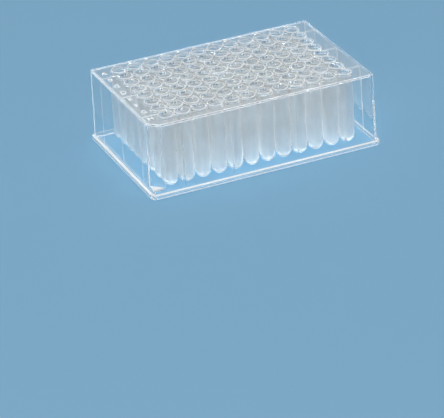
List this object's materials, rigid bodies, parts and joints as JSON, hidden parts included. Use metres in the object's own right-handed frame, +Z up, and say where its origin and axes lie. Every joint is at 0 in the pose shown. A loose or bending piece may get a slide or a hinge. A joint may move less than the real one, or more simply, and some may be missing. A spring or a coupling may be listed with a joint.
{
  "type": "well plate",
  "caption": "Clear one-piece deep-well plate: a box skirt on a base flange, a flat deck and a grid of round-bottomed wells with raised rims.",
  "frame": {"origin": "middle of the base plane, under the centre of the well grid", "axes": "+X along the rows towards the last column, +Y from the last row towards row A, +Z up out of the wells"},
  "size_m": [0.1278, 0.0854, 0.0404],
  "materials": {
    "clear_plastic": "clear gloss, moulded"
  },
  "bodies": {
    "root": {"well_plate": "clear_plastic"}
  },
  "joints": []
}
